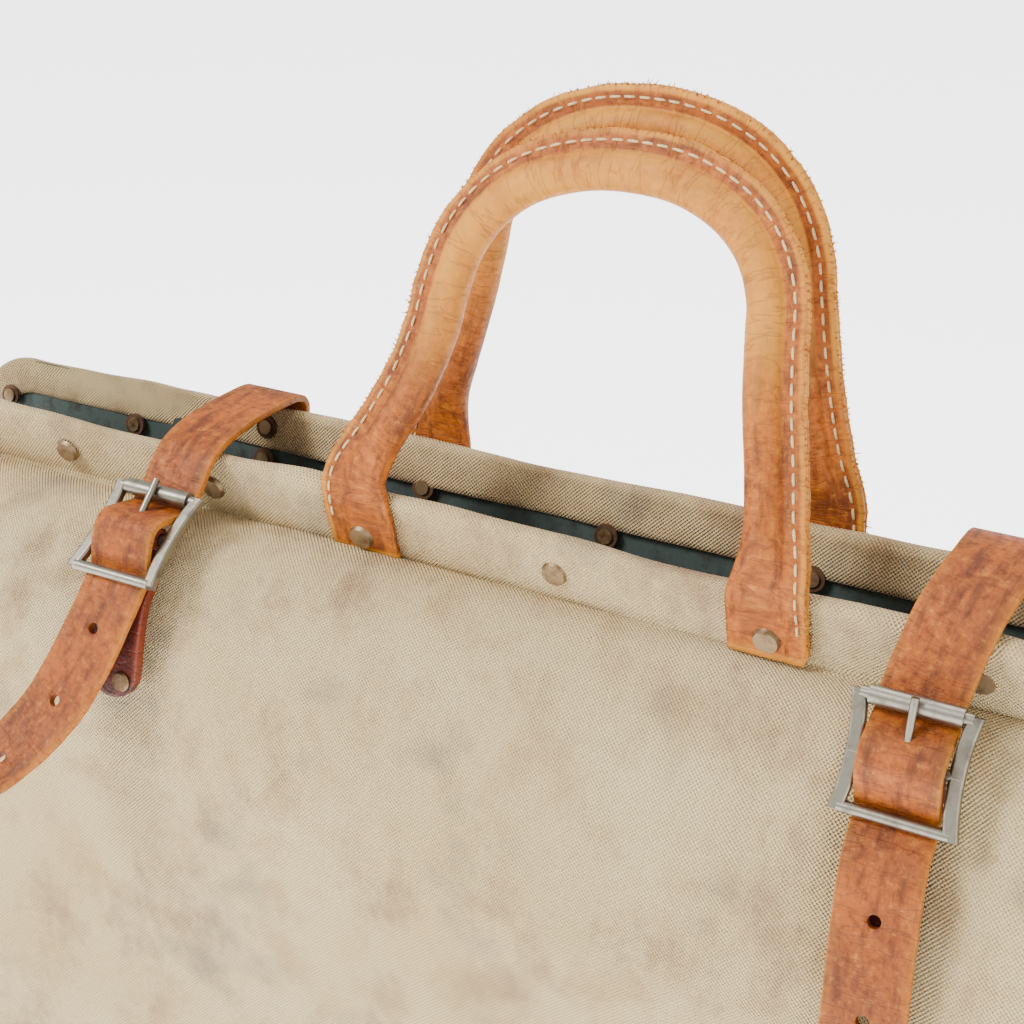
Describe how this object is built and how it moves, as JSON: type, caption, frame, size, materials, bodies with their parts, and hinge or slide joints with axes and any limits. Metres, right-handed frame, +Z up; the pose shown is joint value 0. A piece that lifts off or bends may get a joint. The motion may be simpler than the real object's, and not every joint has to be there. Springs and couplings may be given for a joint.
{
  "type": "doctor bag",
  "caption": "Canvas doctor-style tool bag with a hinged steel mouth frame, rope-cored leather handles and leather straps closed by roller buckles.",
  "frame": {"origin": "underside of the middle foot, on the surface the bag stands on", "axes": "+X along the bag, -Y is the front with the buckles, +Z up"},
  "size_m": [0.6058, 0.2071, 0.4914],
  "materials": {
    "canvas": "heavy natural duck, worn and spotted",
    "board": "fibre board",
    "leather": "worn oiled tan leather",
    "dark_leather": "dark oiled leather",
    "rope": "twisted cotton rope",
    "frame_steel": "dark grey paint",
    "rivet_metal": "tarnished nickel plate",
    "buckle_nickel": "satin nickel plate"
  },
  "bodies": {
    "bag": {"front_panel": "canvas", "rear_panel": "canvas", "gusset_left": "canvas", "gusset_right": "canvas", "base_board": "board", "base_canvas": "canvas", "base_leather": "leather", "base_rivets": "rivet_metal", "feet": "rivet_metal", "front_shoulder": "canvas", "rear_shoulder": "canvas", "gusset_fold_left": "canvas", "gusset_fold_right": "canvas", "hinge_pins": "frame_steel", "chape_base_rivets": "rivet_metal"},
    "front_frame": {"front_frame_bar": "frame_steel", "front_rim_canvas": "canvas", "front_rim_rivets": "rivet_metal", "front_rivet_burrs": "rivet_metal", "front_handle_tabs": "leather", "front_handle_rivets": "rivet_metal"},
    "rear_frame": {"rear_frame_bar": "frame_steel", "rear_rim_canvas": "canvas", "rear_rim_rivets": "rivet_metal", "rear_rivet_burrs": "rivet_metal", "rear_handle_tabs": "leather", "rear_handle_rivets": "rivet_metal", "strap_rivets": "rivet_metal"},
    "front_handle": {"front_handle_grip": "leather", "front_handle_core": "rope"},
    "rear_handle": {"rear_handle_grip": "leather", "rear_handle_core": "rope"},
    "strap_left": {"strap_left": "leather"},
    "chape_left": {"chape_left": "dark_leather", "chape_rivet_left": "rivet_metal"},
    "buckle_left": {"buckle_frame_left": "buckle_nickel"},
    "roller_left": {"buckle_roller_left": "buckle_nickel"},
    "tongue_left": {"buckle_tongue_left": "buckle_nickel"},
    "strap_right": {"strap_right": "leather"},
    "chape_right": {"chape_right": "dark_leather", "chape_rivet_right": "rivet_metal"},
    "buckle_right": {"buckle_frame_right": "buckle_nickel"},
    "roller_right": {"buckle_roller_right": "buckle_nickel"},
    "tongue_right": {"buckle_tongue_right": "buckle_nickel"}
  },
  "joints": [
    {"name": "mouth_open", "type": "hinge", "parent": "bag", "child": "front_frame", "pos_m": [0, 0, 0.268], "axis": [1, 0, 0], "range_deg": [0, 45], "deforming": ["front_shoulder", "gusset_fold_left", "gusset_fold_right"]},
    {"name": "rear_mouth_open", "type": "hinge", "parent": "bag", "child": "rear_frame", "pos_m": [0, 0, 0.268], "axis": [1, 0, 0], "range_deg": [-45, 0], "deforming": ["rear_shoulder"]},
    {"name": "front_handle_fold", "type": "hinge", "parent": "front_frame", "child": "front_handle", "pos_m": [0, -0.02862, 0.36027], "axis": [1, 0, 0], "range_deg": [0, 100]},
    {"name": "rear_handle_fold", "type": "hinge", "parent": "rear_frame", "child": "rear_handle", "pos_m": [0, 0.02862, 0.36027], "axis": [-1, 0, 0], "range_deg": [0, 95]},
    {"name": "strap_left_lift", "type": "hinge", "parent": "rear_frame", "child": "strap_left", "pos_m": [-0.146, 0.02824, 0.35882], "axis": [-1, 0, 0], "range_deg": [0, 140], "deforming": ["strap_left"]},
    {"name": "chape_left_fold", "type": "hinge", "parent": "bag", "child": "chape_left", "pos_m": [-0.146, -0.0772, 0.2995], "axis": [1, 0, 0], "range_deg": [0, 90], "deforming": ["chape_left"]},
    {"name": "buckle_left_swing", "type": "hinge", "parent": "chape_left", "child": "buckle_left", "pos_m": [-0.146, -0.0595, 0.3405], "axis": [-1, 0, 0], "range_deg": [0, 60]},
    {"name": "tongue_left_lift", "type": "hinge", "parent": "buckle_left", "child": "tongue_left", "pos_m": [-0.146, -0.0595, 0.3405], "axis": [1, 0, 0], "range_deg": [0, 130]},
    {"name": "roller_left_turn", "type": "hinge", "parent": "buckle_left", "child": "roller_left", "pos_m": [-0.146, -0.04557, 0.35025], "axis": [1, 0, 0], "continuous": true},
    {"name": "strap_right_lift", "type": "hinge", "parent": "rear_frame", "child": "strap_right", "pos_m": [0.127, 0.02824, 0.35882], "axis": [-1, 0, 0], "range_deg": [0, 140], "deforming": ["strap_right"]},
    {"name": "chape_right_fold", "type": "hinge", "parent": "bag", "child": "chape_right", "pos_m": [0.127, -0.062, 0.284], "axis": [1, 0, 0], "range_deg": [0, 90], "deforming": ["chape_right"]},
    {"name": "buckle_right_swing", "type": "hinge", "parent": "chape_right", "child": "buckle_right", "pos_m": [0.127, -0.0502, 0.328], "axis": [-1, 0, 0], "range_deg": [0, 60]},
    {"name": "tongue_right_lift", "type": "hinge", "parent": "buckle_right", "child": "tongue_right", "pos_m": [0.127, -0.0502, 0.328], "axis": [1, 0, 0], "range_deg": [0, 130]},
    {"name": "roller_right_turn", "type": "hinge", "parent": "buckle_right", "child": "roller_right", "pos_m": [0.127, -0.04356, 0.34365], "axis": [1, 0, 0], "continuous": true}
  ],
  "couplings": [
    {"joint": "rear_mouth_open", "follows": "mouth_open", "ratio": -1},
    {"joint": "chape_left_fold", "follows": "mouth_open", "ratio": 2},
    {"joint": "chape_right_fold", "follows": "mouth_open", "ratio": 2}
  ]
}
